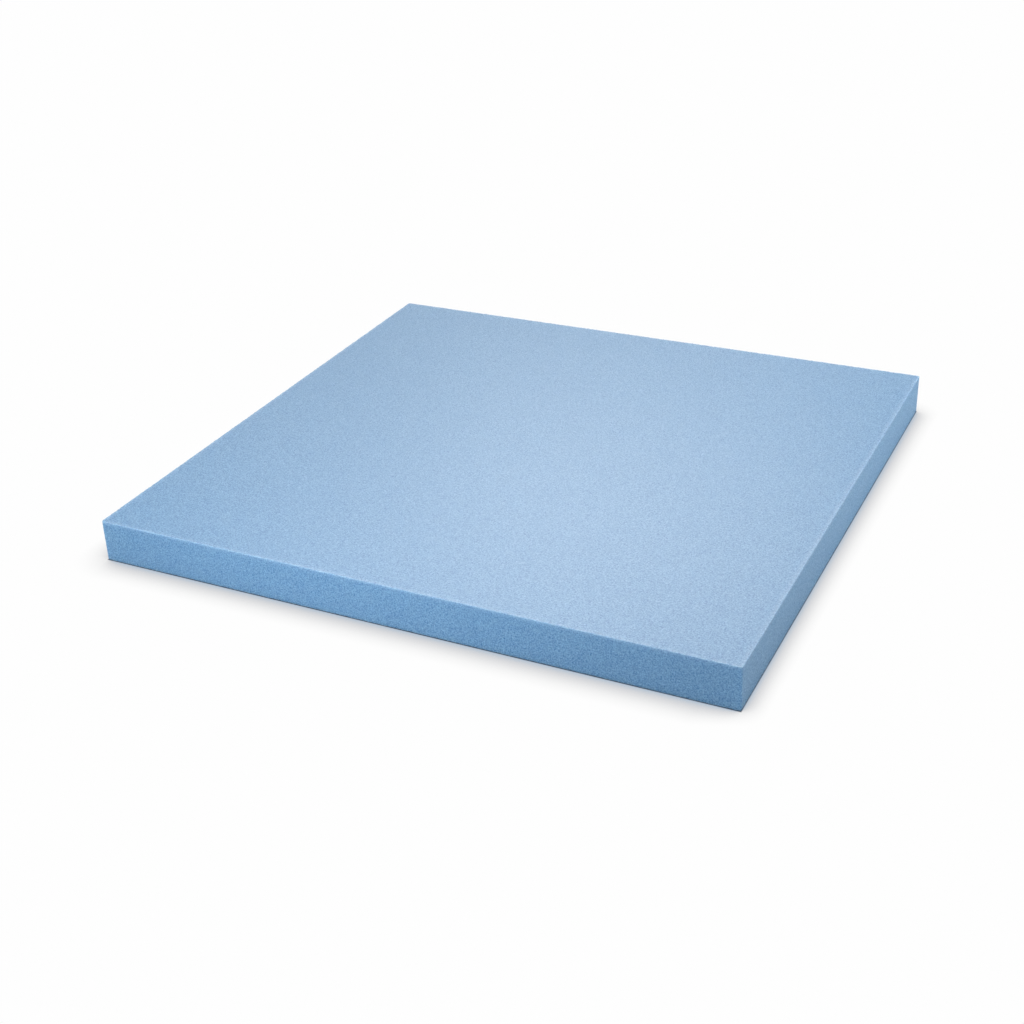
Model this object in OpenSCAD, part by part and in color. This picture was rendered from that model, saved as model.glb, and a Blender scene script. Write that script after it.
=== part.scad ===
// Foam slab: one flat, nearly square piece of soft, light blue, open-cell foam.
// It is sliced to its thickness and then cut to size with a straight blade, so its faces are flat,
// its sides are upright and its edges are crisp, with only the small softening that cut foam has.
// X runs along the longer side, Y along the shorter side and Z up.
// The origin is the centre of the underside, on which the slab rests.

/* [Slab] */
// Length of the longer side, in mm
slab_length = 600; // [200:5:1200]
// Length of the shorter side, in mm
slab_width = 575; // [200:5:1200]
// Thickness from the underside to the top face, in mm
slab_thickness = 40; // [10:1:150]

/* [Cut edges] */
// Radius of the softened edges round the top face and round the underside, in mm
edge_radius = 1; // [0.5:0.1:4]
// Radius of the four upright corners, where two blade cuts meet, in mm
corner_radius = 1.5; // [0.5:0.1:10]

/* [Hidden] */
foam_blue = "#7aa6d1";
$fn = 64;

// A rectangle with its lower side on the X axis, centred across it, and its four corners rounded
module rounded_outline(across, up, radius) {
    flat_across = across - 2 * radius;
    flat_up = up - 2 * radius;
    translate([-flat_across / 2, 0]) square([flat_across, up]);
    translate([-across / 2, radius]) square([across, flat_up]);
    for (side = [-1, 1], height = [radius, up - radius])
        translate([side * flat_across / 2, height]) circle(r = radius);
}

// The slab as seen from above: its plan, raised to the full thickness
module cut_from_above() {
    translate([0, -slab_width / 2, 0])
        linear_extrude(slab_thickness)
            rounded_outline(slab_length, slab_width, corner_radius);
}

// The slab as seen from the front: its long section, carried over the full width
module cut_from_front() {
    translate([0, slab_width / 2, 0])
        rotate([90, 0, 0])
            linear_extrude(slab_width)
                rounded_outline(slab_length, slab_thickness, edge_radius);
}

// The slab as seen from its right side: its short section, carried over the full length
module cut_from_side() {
    translate([-slab_length / 2, 0, 0])
        rotate([90, 0, 90])
            linear_extrude(slab_length)
                rounded_outline(slab_width, slab_thickness, edge_radius);
}

// One solid piece of foam: what is left when all three outlines have been cut
module foam_slab() {
    color(foam_blue)
        intersection() {
            cut_from_above();
            cut_from_front();
            cut_from_side();
        }
}

foam_slab();
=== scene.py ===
# %% [markdown]
# Foam slab, one flat piece of light blue padding foam
#
# This lesson dresses one of the plainest objects there is: a slab of soft open-cell foam, sliced
# from a large block and cut square with a straight blade. A plain object leaves nothing to hide
# behind, so the whole likeness rests on four things: crisp cut edges, a fine cell grain, the soft
# gloss that a freshly cut face has at a low angle, and a gentle contact shadow.
#
# The slab's size isn't chosen here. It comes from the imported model, which is loaded as a fixed
# frame in metres, and the piece that is made below takes all its dimensions from it.

import math

import bmesh
import bpy
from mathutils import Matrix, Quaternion, Vector


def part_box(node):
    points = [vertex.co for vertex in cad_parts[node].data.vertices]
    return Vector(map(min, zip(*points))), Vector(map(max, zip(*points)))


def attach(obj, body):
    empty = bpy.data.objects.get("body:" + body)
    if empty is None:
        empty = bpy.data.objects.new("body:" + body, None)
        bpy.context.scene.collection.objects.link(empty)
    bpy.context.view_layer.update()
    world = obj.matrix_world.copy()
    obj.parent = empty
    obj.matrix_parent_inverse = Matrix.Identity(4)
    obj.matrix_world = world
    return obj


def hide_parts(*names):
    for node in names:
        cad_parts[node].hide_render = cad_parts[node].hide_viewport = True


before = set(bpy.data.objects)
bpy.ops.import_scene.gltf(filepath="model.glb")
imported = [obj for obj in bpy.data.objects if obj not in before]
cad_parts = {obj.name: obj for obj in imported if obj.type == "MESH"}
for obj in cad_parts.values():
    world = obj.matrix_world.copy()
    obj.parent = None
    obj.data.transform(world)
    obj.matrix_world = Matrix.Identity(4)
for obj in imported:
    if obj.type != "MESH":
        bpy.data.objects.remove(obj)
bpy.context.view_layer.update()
slab_low, slab_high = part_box("foam_slab")
slab_size = slab_high - slab_low
MM = 0.001
print("the slab measures", [round(side / MM, 1) for side in slab_size], "mm")

# %% [markdown]
# The camera
#
# The picture looks down on one corner of the slab from about 70 centimetres above the bench. The
# camera could be placed by eye, but a flat slab shows every error along its straight edges. So it was
# worked out once from the slab's seven visible corners, and is written down here as an eye point, the
# point that it aims at, and a small roll. The lens shift slides the picture in its frame without
# changing the view.

# %% Place the camera
EYE = Vector((0.5903, -1.2399, 0.7147))
AIM = Vector((-0.03235, -0.05752, 0.02))
ROLL = math.radians(-2.783)
LENS_MM = 55.744
SENSOR_MM = 36
SHIFT = 0.0293

camera_data = bpy.data.cameras.new("camera")
camera_data.sensor_width = SENSOR_MM
camera_data.lens = LENS_MM
camera_data.shift_x = SHIFT
camera_data.shift_y = -SHIFT
camera = bpy.data.objects.new("camera", camera_data)
bpy.context.collection.objects.link(camera)
camera.rotation_mode = "QUATERNION"
camera.location = EYE
camera.rotation_quaternion = (AIM - EYE).to_track_quat("-Z", "Y") @ Quaternion((0, 0, 1), ROLL)
bpy.context.scene.camera = camera
print("the camera is", round((AIM - EYE).length, 3), "m from the slab")

# %% [markdown]
# One helper for every node tree
#
# Geometry trees and materials are both built from nodes. Written out in full, each node takes five
# or six lines, and the shape of the tree is lost among them. This one function adds a node, sets
# its options, and fills its sockets: a socket becomes a link, a whole node stands for its first open
# output, and any other value is typed in. A socket is called by its name, or by its position where
# names repeat.

# %% Add a node with its settings and links
def add(tree, kind, inputs=None, **settings):
    """A new node of that kind in the tree, with its options set and its sockets filled."""
    node = tree.nodes.new(kind)
    for option, choice in settings.items():
        setattr(node, option, choice)
    open_sockets = [socket for socket in node.inputs if socket.enabled]
    for key, value in (inputs or {}).items():
        if isinstance(key, int):
            socket = open_sockets[key]
        else:
            socket = next(s for s in open_sockets if s.name == key)
        for item in value if isinstance(value, list) else [value]:
            if isinstance(item, bpy.types.Node):
                item = next(output for output in item.outputs if output.enabled)
            if isinstance(item, bpy.types.NodeSocket):
                tree.links.new(item, socket)
            else:
                socket.default_value = item
    return node


print("add() builds every node below")

# %% [markdown]
# The slab as a tree of geometry nodes
#
# On the real thing the slab is a slice of foam, and a long straight knife cuts its four sides. The
# knife leaves the faces flat and the edges crisp, with a softening of about a millimetre where the
# cell walls have no neighbour to lean on. Right at the edge whole cells are cut open, so the edge
# line is very slightly ragged.
#
# A bevelled cube would give the box, but its faces are either far too large to hold that ragged
# edge, or far too many. A soft cushion would be swollen with a cloth simulation; a cut slab has no
# cover and no pressure inside, so it stays flat and there is nothing to simulate.
#
# The shape follows a rule instead: a section is swept round an outline, as a carpenter runs a
# moulding round a table top, and the two open faces are filled. The fine steps are spent on the
# edges and walls, and each ring of faces inside them is twice as coarse as the last.

# %% Start the tree and name its sizes
slab_tree = bpy.data.node_groups.new("cut_slab", "GeometryNodeTree")
slab_tree.interface.new_socket("Geometry", in_out="OUTPUT", socket_type="NodeSocketGeometry")

SIZES = {
    "Length": slab_size.x,
    "Width": slab_size.y,
    "Thickness": slab_size.z,
    "Corner Radius": 1.8 * MM,
    "Upper Edge Radius": 0.4 * MM,
    "Lower Edge Radius": 1.4 * MM,
    "Lip": 1.6 * MM,
    "Step": 1.4 * MM,
    "Cell": 2.6 * MM,
    "Ragged Edge": 0.30 * MM,
    "Rough Wall": 0.05 * MM,
    # how far the painted highlight along the upper edge reaches
    "Cut Open": 4.0 * MM,
    "Seed": 7.0,
}
socket_of = {}
for size_name, size in SIZES.items():
    socket = slab_tree.interface.new_socket(size_name, in_out="INPUT", socket_type="NodeSocketFloat")
    socket.default_value = size
    socket_of[size_name] = socket.identifier
foam_socket = slab_tree.interface.new_socket("Foam", in_out="INPUT", socket_type="NodeSocketMaterial")
sizes = add(slab_tree, "NodeGroupInput").outputs
print("the tree has", len(SIZES), "named sizes")

# %% [markdown]
# Steps along a curve
#
# Both the outline and the section need points at an even spacing along their straight stretches,
# and untouched points round their arcs. Resampling the whole curve would cut the arcs' corners off.
# Subdividing does what is wanted: each stretch gets as many cuts as steps fit in its own length, so
# an arc's short pieces get none.

# %% Cut the straight stretches of a curve into steps
def cut_into_steps(curve, step):
    """The curve with each of its stretches cut into pieces of about one step."""
    start = add(slab_tree, "GeometryNodeInputPosition")
    index = add(slab_tree, "GeometryNodeInputIndex")
    following = add(slab_tree, "GeometryNodeOffsetPointInCurve", {"Point Index": index, "Offset": 1})
    end = add(slab_tree, "GeometryNodeFieldAtIndex",
              {"Value": start, "Index": following.outputs["Point Index"]},
              data_type="FLOAT_VECTOR", domain="POINT")
    stretch = add(slab_tree, "ShaderNodeVectorMath", {0: start, 1: end}, operation="DISTANCE")
    steps = add(slab_tree, "ShaderNodeMath", {0: stretch, 1: step}, operation="DIVIDE")
    cuts = add(slab_tree, "FunctionNodeFloatToInt", {"Float": steps}, rounding_mode="FLOOR")
    return add(slab_tree, "GeometryNodeSubdivideCurve", {"Curve": curve, "Cuts": cuts})


print("the finest steps are", round(SIZES["Step"] / MM, 1), "mm long")

# %% [markdown]
# The outline
#
# The outline is the slab seen from above: a rectangle whose corners are rounded by the small radius
# that two blade cuts leave.

# %% Draw the outline
ARC_PIECES = 6  # short sides to each rounding

outline = add(slab_tree, "GeometryNodeCurvePrimitiveQuadrilateral",
              {"Width": sizes["Length"], "Height": sizes["Width"]}, mode="RECTANGLE")
outline = add(slab_tree, "GeometryNodeFilletCurve",
              {"Curve": outline, "Radius": sizes["Corner Radius"], "Count": ARC_PIECES}, mode="POLY")
outline = cut_into_steps(outline, sizes["Step"])
print("the outline is", round(SIZES["Length"] / MM), "by", round(SIZES["Width"] / MM), "mm")

# %% [markdown]
# The section
#
# The section is half of the slab's side seen end on: a short lip in from the wall on the underside,
# the rounded lower edge, the upright wall, the rounded upper edge and the lip on the top face. The
# lip has to be longer than the edge's radius and shorter than the corner's, or the swept faces would
# fold over each other inside the corners.
#
# The two edges of the section differ. The blade enters at the top face and leaves it crisp, and at
# the bottom the slab's own weight and the drag of the blade leave a slightly softer edge. A fillet
# on the whole section would round both alike, so each corner point carries a radius of its own,
# picked out by its number along the line.

# %% Draw the section and sweep it round the outline
def by_number(data_type, choices):
    """For each corner of the section the choice that its number along the line picks out."""
    switch = add(slab_tree, "GeometryNodeIndexSwitch", data_type=data_type)
    for _ in choices[2:]:  # a new switch has room for two
        switch.index_switch_items.new()
    index = add(slab_tree, "GeometryNodeInputIndex")
    slab_tree.links.new(index.outputs[0], switch.inputs["Index"])
    for number, choice in enumerate(choices):
        slab_tree.links.new(choice, switch.inputs[str(number)])
    return switch


# each corner is measured inwards from the wall and up from the underside
lip, top = sizes["Lip"], sizes["Thickness"]
corners = [{"X": lip}, {}, {"Y": top}, {"X": lip, "Y": top}]
corner_points = [add(slab_tree, "ShaderNodeCombineXYZ", corner).outputs[0] for corner in corners]
lower, upper = sizes["Lower Edge Radius"], sizes["Upper Edge Radius"]
radii = [lower, lower, upper, upper]

# the sweep counts outwards and downwards, so every sign is turned
turned = add(slab_tree, "ShaderNodeVectorMath", {0: by_number("VECTOR", corner_points), "Scale": -1.0},
             operation="SCALE")
line = add(slab_tree, "GeometryNodeMeshLine", {"Count": len(corners)})
line = add(slab_tree, "GeometryNodeSetPosition", {"Geometry": line, "Position": turned})
section = add(slab_tree, "GeometryNodeMeshToCurve", {"Mesh": line})
section = add(slab_tree, "GeometryNodeFilletCurve",
              {"Curve": section, "Radius": by_number("FLOAT", radii), "Count": ARC_PIECES}, mode="POLY")
section = cut_into_steps(section, sizes["Step"])
wall = add(slab_tree, "GeometryNodeCurveToMesh", {"Curve": outline, "Profile Curve": section})
print("a section of", len(corners), "corner points is swept round the outline")

# %% [markdown]
# Filling the two faces
#
# What is left open is the top face and the underside, each inside a lip with over a thousand short
# sides. One face with a thousand corners would render, but it would be split into long slivers when
# the mesh is exported. So the opening is closed by rings: each is filled between the last loop and
# a plain rectangle further in, whose points are twice as far apart. The last rectangle is the rim
# of an even grid.

# %% Fill a loop with rings and a grid
RINGS = 4
COARSER = 2.0  # each ring's steps against the last one's
RING_WIDTH = 1.2  # in its own steps


def filled_face(loop):
    """Faces from a loop of fine points inwards, level with the plan."""
    parts = []
    step = sizes["Step"]
    inset = sizes["Lip"]
    for _ in range(RINGS):
        step = add(slab_tree, "ShaderNodeMath", {0: step, 1: COARSER}, operation="MULTIPLY")
        inset = add(slab_tree, "ShaderNodeMath", {0: step, 1: RING_WIDTH, 2: inset},
                    operation="MULTIPLY_ADD")
        across, along = [
            add(slab_tree, "ShaderNodeMath", {0: inset, 1: -2.0, 2: side}, operation="MULTIPLY_ADD")
            for side in (sizes["Length"], sizes["Width"])]
        inner = add(slab_tree, "GeometryNodeCurvePrimitiveQuadrilateral",
                    {"Width": across, "Height": along}, mode="RECTANGLE")
        inner = cut_into_steps(inner, step)
        both = add(slab_tree, "GeometryNodeJoinGeometry", {"Geometry": [loop, inner]})
        parts.append(add(slab_tree, "GeometryNodeFillCurve", {"Curve": both}, mode="TRIANGLES"))
        loop = inner
    # the grid's rim is cut as the last rectangle is, and has a point at each end too
    points = []
    for side in (across, along):
        steps = add(slab_tree, "ShaderNodeMath", {0: side, 1: step}, operation="DIVIDE")
        cuts = add(slab_tree, "ShaderNodeMath", {0: steps}, operation="FLOOR")
        points.append(add(slab_tree, "ShaderNodeMath", {0: cuts, 1: 2.0}, operation="ADD"))
    grid = add(slab_tree, "GeometryNodeMeshGrid",
               {"Size X": across, "Size Y": along, "Vertices X": points[0], "Vertices Y": points[1]})
    return add(slab_tree, "GeometryNodeJoinGeometry", {"Geometry": [*parts, grid]})


print("each face is closed by", RINGS, "rings and a grid")

# %% [markdown]
# Finding the two openings
#
# The rim of an opening is every edge that has only one face. There are two such rims, and half the
# thickness parts them: the one above it is the top face's, and the one below is the underside's. The
# filling is made level with the plan, so the top one is lifted, and the lower one is turned over to
# face down. Then every point that lies on another is welded to it.

# %% Close the top face and the underside
WELD = 0.02 * MM

sides = add(slab_tree, "GeometryNodeInputMeshEdgeNeighbors")
on_rim = add(slab_tree, "FunctionNodeCompare", {"A": sides, "B": 1}, data_type="INT", operation="EQUAL")
here = add(slab_tree, "GeometryNodeInputPosition")
height = add(slab_tree, "ShaderNodeSeparateXYZ", {0: here}).outputs["Z"]
half_way = add(slab_tree, "ShaderNodeMath", {0: sizes["Thickness"], 1: 0.5}, operation="MULTIPLY")
lift = add(slab_tree, "ShaderNodeCombineXYZ", {"Z": sizes["Thickness"]})
faces = [wall]
for above in (True, False):
    level = add(slab_tree, "FunctionNodeCompare", {"A": height, "B": half_way}, data_type="FLOAT",
                operation="GREATER_THAN" if above else "LESS_THAN")
    rim = add(slab_tree, "FunctionNodeBooleanMath", {0: on_rim, 1: level}, operation="AND")
    rim_loop = add(slab_tree, "GeometryNodeMeshToCurve", {"Mesh": wall, "Selection": rim})
    face = filled_face(rim_loop)
    if above:
        face = add(slab_tree, "GeometryNodeTransform", {"Geometry": face, "Translation": lift})
    else:
        face = add(slab_tree, "GeometryNodeFlipFaces", {"Mesh": face})
    faces.append(face)
slab = add(slab_tree, "GeometryNodeJoinGeometry", {"Geometry": faces})
slab = add(slab_tree, "GeometryNodeMergeByDistance", {"Geometry": slab, "Distance": WELD})
print("the slab is closed, and points within", round(WELD / MM, 2), "mm are welded")

# %% [markdown]
# Distances to the walls and faces
#
# A knife cuts through cells, not between them, so the edge line wanders by a fraction of a cell. Along
# the upper edge the colour is made a little paler: a painted highlight, standing in for the light that
# the edge catches. Both need to know how near each point is to the edges. The slab is the same on all
# four sides, so the point is folded into one quarter of it, and taken from the upper corner there.
# What is left is its distance from the end wall, the side wall and the top face.

# %% Measure each point's distance to the walls and faces
whole = add(slab_tree, "ShaderNodeCombineXYZ",
            {"X": sizes["Length"], "Y": sizes["Width"], "Z": sizes["Thickness"]})
upper_corner = add(slab_tree, "ShaderNodeVectorMath", {0: whole, 1: (0.5, 0.5, 1.0)}, operation="MULTIPLY")
folded = add(slab_tree, "ShaderNodeVectorMath", {0: here}, operation="ABSOLUTE")
distances = add(slab_tree, "ShaderNodeVectorMath", {0: upper_corner, 1: folded}, operation="SUBTRACT")
from_end, from_side, from_top = add(slab_tree, "ShaderNodeSeparateXYZ", {0: distances}).outputs
from_wall = add(slab_tree, "ShaderNodeMath", {0: from_end, 1: from_side}, operation="MINIMUM")
from_face = add(slab_tree, "ShaderNodeMath", {0: from_top, 1: height}, operation="MINIMUM")


def fading(distance, reach):
    """1 at no distance, falling smoothly to 0 at that reach."""
    return add(slab_tree, "ShaderNodeMapRange",
               {"Value": distance, "From Min": 0.0, "From Max": reach, "To Min": 1.0, "To Max": 0.0},
               interpolation_type="SMOOTHSTEP")


print("the paler edge fades out", round(SIZES["Cut Open"] / MM, 1), "mm from the upper edge")

# %% [markdown]
# The ragged edge
#
# Each point moves by a smooth random amount in all three directions, most at the edges and hardly
# at all on the walls. The noise has a seed of its own and is read in metres, so the same slab comes
# out every time. No point may go below the underside, or the slab would stand in its own bench.
#
# The painted highlight on the upper edge is only a mark here: 1 along the edge, fading to 0 over a
# few millimetres. It is stored on the mesh as an attribute, before the points move, and the material
# reads it.

# %% Roughen the cut edges by a fraction of a cell
UNDERSIDE = (-10.0, -10.0, 0.0)  # no point goes lower than this: far off along X and Y, but 0 along Z

per_metre = add(slab_tree, "ShaderNodeMath", {0: 1.0, 1: sizes["Cell"]}, operation="DIVIDE")
seeded_noise = add(slab_tree, "ShaderNodeTexNoise",
                   {"Vector": here, "W": sizes["Seed"], "Scale": per_metre, "Detail": 1.0, "Roughness": 0.5},
                   noise_dimensions="4D", normalize=False)
near_wall = fading(from_wall, sizes["Cell"])
near_face = fading(from_face, sizes["Cell"])
near_edge = add(slab_tree, "ShaderNodeMath", {0: near_wall, 1: near_face}, operation="MULTIPLY")
on_walls = add(slab_tree, "ShaderNodeMath", {0: near_wall, 1: sizes["Rough Wall"]}, operation="MULTIPLY")
amount = add(slab_tree, "ShaderNodeMath", {0: near_edge, 1: sizes["Ragged Edge"], 2: on_walls},
             operation="MULTIPLY_ADD")
shift = add(slab_tree, "ShaderNodeVectorMath", {0: seeded_noise.outputs["Color"], "Scale": amount},
            operation="SCALE")
moved = add(slab_tree, "ShaderNodeVectorMath", {0: here, 1: shift}, operation="ADD")
moved = add(slab_tree, "ShaderNodeVectorMath", {0: moved, 1: UNDERSIDE}, operation="MAXIMUM")

# the mark for the painted highlight along the upper edge, 1 at the edge and 0 further in
from_upper_edge = add(slab_tree, "ShaderNodeMath", {0: from_wall, 1: from_top}, operation="MAXIMUM")
slab = add(slab_tree, "GeometryNodeStoreNamedAttribute",
           {"Geometry": slab, "Name": "cut_open", "Value": fading(from_upper_edge, sizes["Cut Open"])},
           data_type="FLOAT", domain="POINT")
slab = add(slab_tree, "GeometryNodeSetPosition", {"Geometry": slab, "Position": moved})
print("the edge wanders by up to about", round(SIZES["Ragged Edge"] / MM, 1), "mm")

# %% Finish the tree
slab = add(slab_tree, "GeometryNodeSetShadeSmooth", {"Geometry": slab})
slab = add(slab_tree, "GeometryNodeRealizeInstances", {"Geometry": slab})
slab = add(slab_tree, "GeometryNodeSetMaterial", {"Geometry": slab, "Material": sizes["Foam"]})
add(slab_tree, "NodeGroupOutput", {"Geometry": slab})
print("the slab's tree has", len(slab_tree.nodes), "nodes")

# %% [markdown]
# The foam
#
# This is flexible polyurethane foam, dyed light blue through and through: a froth of tiny bubbles
# whose walls have burst, so that only a net of thin struts is left. A knife-cut face shows the strut
# ends as paler specks, and the open cells between them as deeper blue ones. The cells are about half
# a millimetre, finer than the picture can show, so the grain is drawn at a little over a millimetre.
# From the deeper colour to the paler one red, green and blue all rise, because what makes a speck
# pale is the light it catches, not another dye.
#
# Three things make it look like foam and not like painted card. Light sinks in and comes out a few
# millimetres away, which softens each edge: that is the subsurface scattering. A fine bump follows
# the same cells as the colour. And at a low angle the cut strut ends, which all lie in one plane,
# reflect together as a whitish veil. The slicer's long blade leaves the two large faces a little
# smoother than the sides, so the veil is clearer on them.

# %% Name the foam's colours and finish
GRAIN = 1.3 * MM  # the real cells are about 0.5 mm, too fine to show
NOISE_SPAN = (0.2, 0.8)  # the noise hardly leaves this span
DEEP_CELL = "#245F98"
STRUT_END = "#99C3E0"
CELL_RELIEF = 0.25 * MM
RELIEF_STRENGTH = 0.5
# a painted highlight: the upper edge is mixed a little towards white, standing in for the light it catches
HIGHLIGHT_WHITE = "#FFFFFF"
HIGHLIGHT_SHARE = 0.07  # how far the upper edge is mixed towards white
SLICED_ROUGHNESS = 0.3
CUT_ROUGHNESS = 0.5
WALL_OR_FACE = (0.4, 0.8)  # a normal less upright than the first is a wall's, and past the second a face's
FOAM_IOR = 1.3  # polyurethane is 1.5, but only a part of a cut face is strut, and the rest is open cell
LIGHT_DEPTH = 6.0 * MM


def linear_from_hex(code):
    """The linear colour of an sRGB hex code, by the standard's formula, with full alpha."""
    channels = [int(code[start:start + 2], 16) / 255 for start in (1, 3, 5)]
    linear = [c / 12.92 if c <= 0.04045 else ((c + 0.055) / 1.055) ** 2.4 for c in channels]
    return (*linear, 1.0)


print("the foam's paler colour is", [round(channel, 2) for channel in linear_from_hex(STRUT_END)])

# %% Make the foam material
def knife_cut_foam():
    """Open-cell polyurethane foam, cut with a knife: even dye, fine cell grain, soft low-angle veil."""
    material = bpy.data.materials.new("knife_cut_polyurethane_foam")
    material.use_nodes = True
    tree = material.node_tree
    tree.nodes.clear()

    place = add(tree, "ShaderNodeTexCoord").outputs["Object"]
    cells = add(tree, "ShaderNodeTexNoise",
                {"Vector": place, "Scale": 1 / GRAIN, "Detail": 2.0, "Roughness": 0.7},
                normalize=True).outputs["Fac"]
    paleness = add(tree, "ShaderNodeMapRange",
                   {"Value": cells, "From Min": NOISE_SPAN[0], "From Max": NOISE_SPAN[1]})
    grain = add(tree, "ShaderNodeMix",
                {"Factor": paleness, "A": linear_from_hex(DEEP_CELL), "B": linear_from_hex(STRUT_END)},
                data_type="RGBA")
    # painted highlight: the colour is mixed towards white along the upper edge, by the stored mark
    painted_rim_highlight = add(tree, "ShaderNodeAttribute", attribute_type="GEOMETRY", attribute_name="cut_open")
    share = add(tree, "ShaderNodeMath", {0: painted_rim_highlight.outputs["Fac"], 1: HIGHLIGHT_SHARE}, operation="MULTIPLY")
    colour = add(tree, "ShaderNodeMix", {"Factor": share, "A": grain, "B": linear_from_hex(HIGHLIGHT_WHITE)},
                 data_type="RGBA")
    relief = add(tree, "ShaderNodeBump",
                 {"Height": cells, "Strength": RELIEF_STRENGTH, "Distance": CELL_RELIEF})

    facing = add(tree, "ShaderNodeNewGeometry").outputs["True Normal"]
    upwards = add(tree, "ShaderNodeSeparateXYZ", {0: facing}).outputs["Z"]
    upright = add(tree, "ShaderNodeMath", {0: upwards}, operation="ABSOLUTE")
    finish = add(tree, "ShaderNodeMapRange",
                 {"Value": upright, "From Min": WALL_OR_FACE[0], "From Max": WALL_OR_FACE[1],
                  "To Min": CUT_ROUGHNESS, "To Max": SLICED_ROUGHNESS})
    shader = add(tree, "ShaderNodeBsdfPrincipled",
                 {"Base Color": colour, "Roughness": finish, "IOR": FOAM_IOR, "Normal": relief,
                  "Subsurface Weight": 1.0, "Subsurface Radius": (1.0, 1.0, 1.0),
                  "Subsurface Scale": LIGHT_DEPTH})
    add(tree, "ShaderNodeOutputMaterial", {"Surface": shader})
    print("made", material.name, "with cells drawn at", round(GRAIN / MM, 1), "mm")
    return material


foam = knife_cut_foam()

# %% [markdown]
# From the recipe to a plain mesh
#
# The tree is only a recipe. It needs an object to run on, and an empty mesh will do, because the
# recipe brings all its own geometry. Each size is handed to the modifier by its socket's identifier,
# since a name is only a label. The result is then copied out as a plain mesh, so that nothing of the
# recipe has to travel with the part.
#
# The mesh has to be closed and has to face outwards. Recalculating the normals sees to the second.
# Counting the edges that don't have exactly two faces shows whether the first is true, and the volume
# is printed, to be set against length times width times thickness.

# %% Build the slab and turn it into a plain mesh
carrier = bpy.data.objects.new("carrier", bpy.data.meshes.new("carrier"))
bpy.context.collection.objects.link(carrier)
recipe = carrier.modifiers.new("cut_slab", "NODES")
recipe.node_group = slab_tree
for size_name, size in SIZES.items():
    recipe[socket_of[size_name]] = size
recipe[foam_socket.identifier] = foam
evaluated = carrier.evaluated_get(bpy.context.evaluated_depsgraph_get())
slab_mesh = bpy.data.meshes.new_from_object(evaluated)
slab_mesh.name = "cut_foam_slab"
bpy.data.objects.remove(carrier)

shell = bmesh.new()
shell.from_mesh(slab_mesh)
bmesh.ops.recalc_face_normals(shell, faces=shell.faces)
open_edges = sum(not edge.is_manifold for edge in shell.edges)
triangles = sum(len(face.verts) - 2 for face in shell.faces)
litres = shell.calc_volume() / (100 * MM) ** 3  # a litre is a cube with sides of 100 mm
shell.to_mesh(slab_mesh)
shell.free()
print("the slab holds", round(litres, 2), "litres in", triangles, "triangles, with", open_edges, "open edges")

foam_slab = bpy.data.objects.new("cut_foam_slab", slab_mesh)
bpy.context.collection.objects.link(foam_slab)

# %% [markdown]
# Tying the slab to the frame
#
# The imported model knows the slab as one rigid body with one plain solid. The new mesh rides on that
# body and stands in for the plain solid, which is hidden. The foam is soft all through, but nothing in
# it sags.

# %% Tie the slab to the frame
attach(foam_slab, "root")
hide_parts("foam_slab")
print("the slab rides on the frame's one body")

# %% [markdown]
# White where it is seen
#
# The slab lies on white paper in a white room, so bright that both read as pure white. Lamps strong
# enough for that would bleach the foam. So the floor and the room each have two faces: one for what
# is seen directly, in a gloss or through glass, which is white, and one for light on its way to the
# foam, which is plain paper and a plain level of room light. The Light Path node tells them apart.

# %% Tell what is seen from what lights the scene
WHITE = "#FEFEFE"


def seen_directly(tree):
    """1 for what is seen, straight, in a gloss or through glass, and 0 for light on its way."""
    path = add(tree, "ShaderNodeLightPath").outputs
    either = add(tree, "ShaderNodeMath", {0: path["Is Camera Ray"], 1: path["Is Glossy Ray"]},
                 operation="MAXIMUM")
    return add(tree, "ShaderNodeMath", {0: either, 1: path["Is Transmission Ray"]}, operation="MAXIMUM")


print("what is seen of paper and room is", WHITE)

# %% [markdown]
# The paper and its shadow
#
# All that shows of the paper is the shade round the slab: a thin dark line where foam and paper meet,
# a grey band, and a fade to white within about 30 mm. That is a contact shadow. It isn't cast by one
# lamp, but left where the slab hides the room's light. Ambient occlusion measures just that: for each
# point of the paper, how much of the room within a certain reach is open. A colour ramp then turns
# the measure into tones, bluish close to the foam, which tints the light, and neutral further out.
#
# The reach isn't the same all round. A lamp shines in low from the right, so the shade is narrower
# there, and narrowest at the near corner. The reach is carried from the front's value to the right
# side's within the last few centimetres before that corner, and along the right side from near to
# far. The dark line comes from the distance to the slab's own outline.
#
# The shade has a second effect. Paper that lies in it sends less light back up, so the lowest few
# millimetres of the walls are darker than the rest. As a source of light, the paper is therefore
# darker close to the slab, over a part of the shadow's reach.

# %% Name the shadow's reach and tones
SHADOW_REACH = {"front": 33 * MM, "right, near": 19.5 * MM, "right, far": 24 * MM}
TOUCHING_TONE = "#3F4F61"
SHADOW_TONES = {0.0: TOUCHING_TONE, 0.5: "#ADBFD1", 0.6: "#D2D3D6", 0.85: "#F4F4F4", 1.0: WHITE}
TOUCHING = {"under the slab": -0.3 * MM, "outside it": 0.7 * MM}
OPENNESS_SAMPLES = 16
PAPER = (0.85, 0.85, 0.85, 1.0)  # the share of light that white paper sends back
SHADED_PAPER = (0.4, 0.4, 0.4, 1.0)  # and what is left of it where paper and foam meet
SHADED_SHARE = 0.3  # how much of the shadow's reach this takes up


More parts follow.
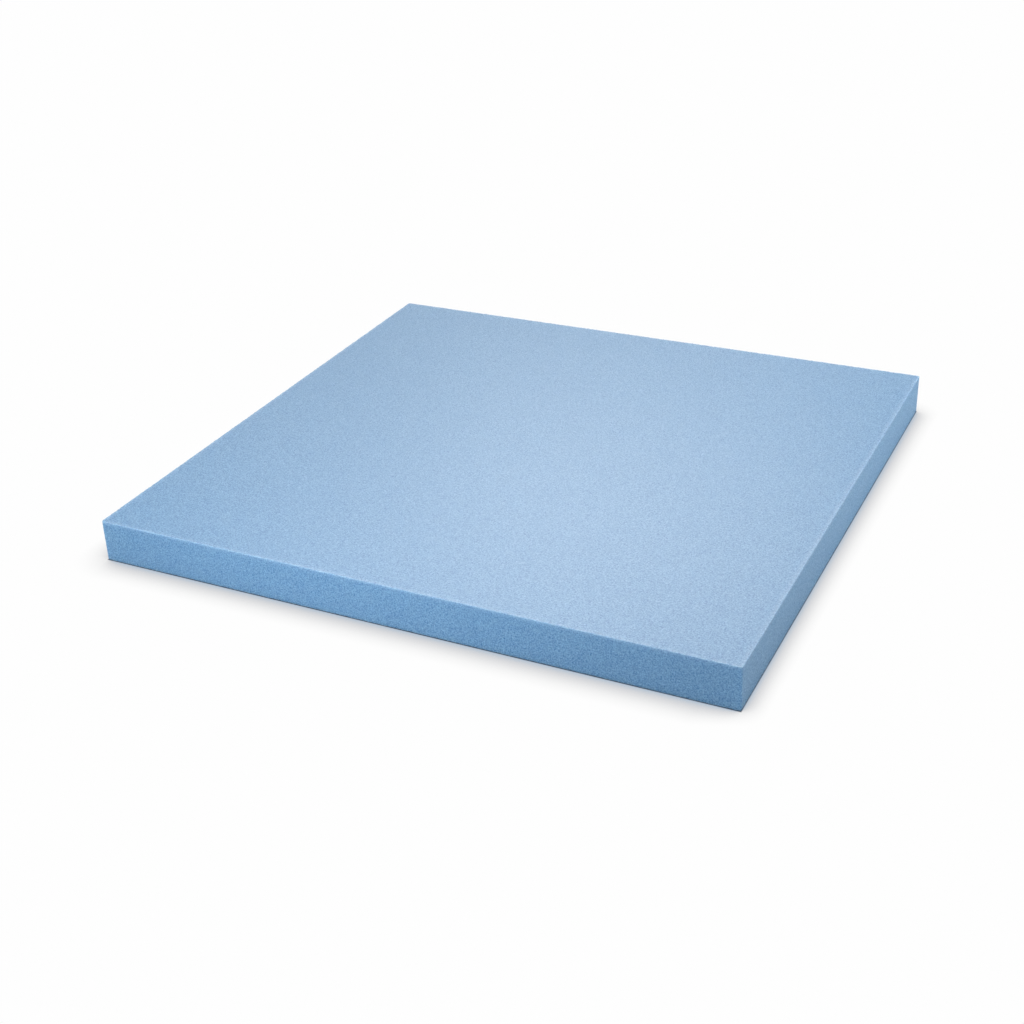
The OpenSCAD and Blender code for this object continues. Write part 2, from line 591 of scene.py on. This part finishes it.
def shadow_reach(tree, place):
    """How far from the slab the shadow reaches at each point of the paper."""
    along, across, _ = add(tree, "ShaderNodeSeparateXYZ", {0: place}).outputs
    on_the_right = add(tree, "ShaderNodeMapRange",
                       {"Value": across, "From Min": slab_low.y, "From Max": slab_high.y,
                        "To Min": SHADOW_REACH["right, near"], "To Max": SHADOW_REACH["right, far"]})
    last_stretch = slab_high.x - SHADOW_REACH["front"]
    return add(tree, "ShaderNodeMapRange",
               {"Value": along, "From Min": last_stretch, "From Max": slab_high.x,
                "To Min": SHADOW_REACH["front"], "To Max": on_the_right})


def distance_outside(tree, place):
    """How far each point of the paper is outside the slab's outline, and below 0 under it."""
    folded = add(tree, "ShaderNodeVectorMath", {0: place}, operation="ABSOLUTE")
    past = add(tree, "ShaderNodeVectorMath", {0: folded, 1: slab_high}, operation="SUBTRACT")
    past_end, past_side, _ = add(tree, "ShaderNodeSeparateXYZ", {0: past}).outputs
    return add(tree, "ShaderNodeMath", {0: past_end, 1: past_side}, operation="MAXIMUM")


print("the shadow reaches", [round(reach / MM, 1) for reach in SHADOW_REACH.values()], "mm")

# %% Make the white paper with its contact shadow
def white_paper():
    """White paper in even light, shaded only where the slab hides the room from it."""
    material = bpy.data.materials.new("matt_white_paper")
    material.use_nodes = True
    tree = material.node_tree
    tree.nodes.clear()

    place = add(tree, "ShaderNodeTexCoord").outputs["Object"]
    reach = shadow_reach(tree, place)
    openness = add(tree, "ShaderNodeAmbientOcclusion", {"Distance": reach}, samples=OPENNESS_SAMPLES)
    shade = add(tree, "ShaderNodeValToRGB", {"Fac": openness.outputs["AO"]})
    stops = shade.color_ramp.elements
    while len(stops) < len(SHADOW_TONES):
        stops.new(0.5)  # each is put in its own place below
    for stop, (position, tone) in zip(stops, SHADOW_TONES.items()):
        stop.position = position
        stop.color = linear_from_hex(tone)

    outside = distance_outside(tree, place)
    touching = add(tree, "ShaderNodeMapRange",
                   {"Value": outside, "From Min": TOUCHING["under the slab"],
                    "From Max": TOUCHING["outside it"], "To Min": 1.0, "To Max": 0.0})
    tone = add(tree, "ShaderNodeMix",
               {"Factor": touching, "A": shade, "B": linear_from_hex(TOUCHING_TONE)}, data_type="RGBA")
    glow = add(tree, "ShaderNodeEmission", {"Color": tone, "Strength": 1.0})

    shaded_reach = add(tree, "ShaderNodeMath", {0: reach, 1: SHADED_SHARE}, operation="MULTIPLY")
    shaded = add(tree, "ShaderNodeMapRange",
                 {"Value": outside, "From Min": 0.0, "From Max": shaded_reach, "To Min": 1.0, "To Max": 0.0})
    sent_back = add(tree, "ShaderNodeMix", {"Factor": shaded, "A": PAPER, "B": SHADED_PAPER},
                    data_type="RGBA")
    paper = add(tree, "ShaderNodeBsdfDiffuse", {"Color": sent_back})
    mixed = add(tree, "ShaderNodeMixShader", {0: seen_directly(tree), 1: paper, 2: glow})
    add(tree, "ShaderNodeOutputMaterial", {"Surface": mixed})
    print("made", material.name, "with a shadow of", len(SHADOW_TONES), "tones")
    return material

# %% Lay the paper under the slab
FLOOR_HALF = 6.0  # metres

floor_mesh = bpy.data.meshes.new("floor")
corner_signs = ((-1, -1), (1, -1), (1, 1), (-1, 1))
floor_corners = [(x * FLOOR_HALF, y * FLOOR_HALF, slab_low.z) for x, y in corner_signs]
floor_mesh.from_pydata(floor_corners, [], [(0, 1, 2, 3)])
floor_mesh.materials.append(white_paper())
floor = bpy.data.objects.new("floor", floor_mesh)
bpy.context.collection.objects.link(floor)
print("the paper lies at", round(slab_low.z / MM, 2), "mm, and is", 2 * FLOOR_HALF, "m across")

# %% [markdown]
# The lamps
#
# Foam is lit well by large soft lamps, and seven of them are used, each with one job. Three long
# boxes stand behind the slab, across from the camera, and mirror in its top face at a low angle: they
# are the pale veil that is clearest in the middle and near the front corner. Two square boxes at half
# height, one at the front left and one at the right, light the faces broadly. Two small ones stand
# low and lift the front wall and the right wall. Seen from elsewhere, those two would leave a bright
# patch in the top face, so they light the foam without being mirrored in it.
#
# Each lamp is given by its radiance, which is how bright its panel looks, where 1 is as bright as
# white paper. Blender wants its power instead, which is the radiance times pi times the area. So a
# lamp can be made larger or moved without changing how it mirrors in the foam.

# %% Make one softbox and find its place
SLAB_MIDDLE = (0, 0, 0.02)


def softbox(name, place, size, radiance, aim=SLAB_MIDDLE, mirrored=True):
    """A rectangular lamp at that place, in metres, turned to the point that it aims at."""
    data = bpy.data.lights.new(name, "AREA")
    data.shape = "RECTANGLE"
    data.size, data.size_y = size
    data.energy = radiance * math.pi * size[0] * size[1]
    lamp = bpy.data.objects.new(name, data)
    bpy.context.collection.objects.link(lamp)
    lamp.location = place
    lamp.rotation_euler = (Vector(aim) - Vector(place)).to_track_quat("-Z", "Y").to_euler()
    lamp.visible_camera = False
    lamp.visible_glossy = mirrored
    print("the lamp", name, "stands", round(Vector(place).length, 2), "m away")


def around(azimuth, elevation, distance):
    """A place round the slab: 0 degrees is in front, 90 at its right, 180 behind."""
    turn = math.radians(azimuth)
    rise = math.radians(elevation)
    out = distance * math.cos(rise)
    return (out * math.sin(turn), -out * math.cos(turn), distance * math.sin(rise))


print("the lamps aim at", SLAB_MIDDLE, "unless they are told otherwise")

# %% Set up the softboxes
BEHIND = 3.5  # metres from the slab's middle
BESIDE = 0.95
SQUARE = (0.45, 0.45)
SMALL_SQUARE = (0.3, 0.3)
LOW = 0.12  # metres above the paper

softbox("back_high", around(205, 38, BEHIND), (2.2, 0.35), 12.14)
softbox("back_low", around(200, 31, BEHIND), (1.2, 0.25), 10.64)
softbox("back_low_left", around(210, 31, BEHIND), (1.2, 0.25), 4.66)
softbox("front_left", around(330, 45, BESIDE), SQUARE, 3.73)
softbox("right_high", around(120, 45, BESIDE), SQUARE, 2.68)
softbox("right_low", (0.8, 0.2, LOW), SMALL_SQUARE, 2.12, aim=(0.3, 0.12, 0.02), mirrored=False)
softbox("front_low", (-0.05, -0.7, LOW), SMALL_SQUARE, 2.93, aim=(-0.03, -0.28, 0.02), mirrored=False)

# %% [markdown]
# The room
#
# The room gives the last and softest part of the light, from all sides alike. Like the paper, it is
# white where it is seen and dimmer as a source of light. With Blender's Standard view, a colour then
# comes out about as it is written.

# %% Make the white room
ROOM_LIGHT = 0.529

world = bpy.data.worlds.new("white_room")
bpy.context.scene.world = world
world.use_nodes = True
room_tree = world.node_tree
room_tree.nodes.clear()
dome = add(room_tree, "ShaderNodeBackground", {"Color": (1, 1, 1, 1), "Strength": ROOM_LIGHT})
white = add(room_tree, "ShaderNodeBackground", {"Color": linear_from_hex(WHITE), "Strength": 1.0})
room = add(room_tree, "ShaderNodeMixShader", {0: seen_directly(room_tree), 1: dome, 2: white})
add(room_tree, "ShaderNodeOutputWorld", {"Surface": room})
bpy.context.scene.view_settings.view_transform = "Standard"
print("the room lights the slab at", ROOM_LIGHT, "of white")
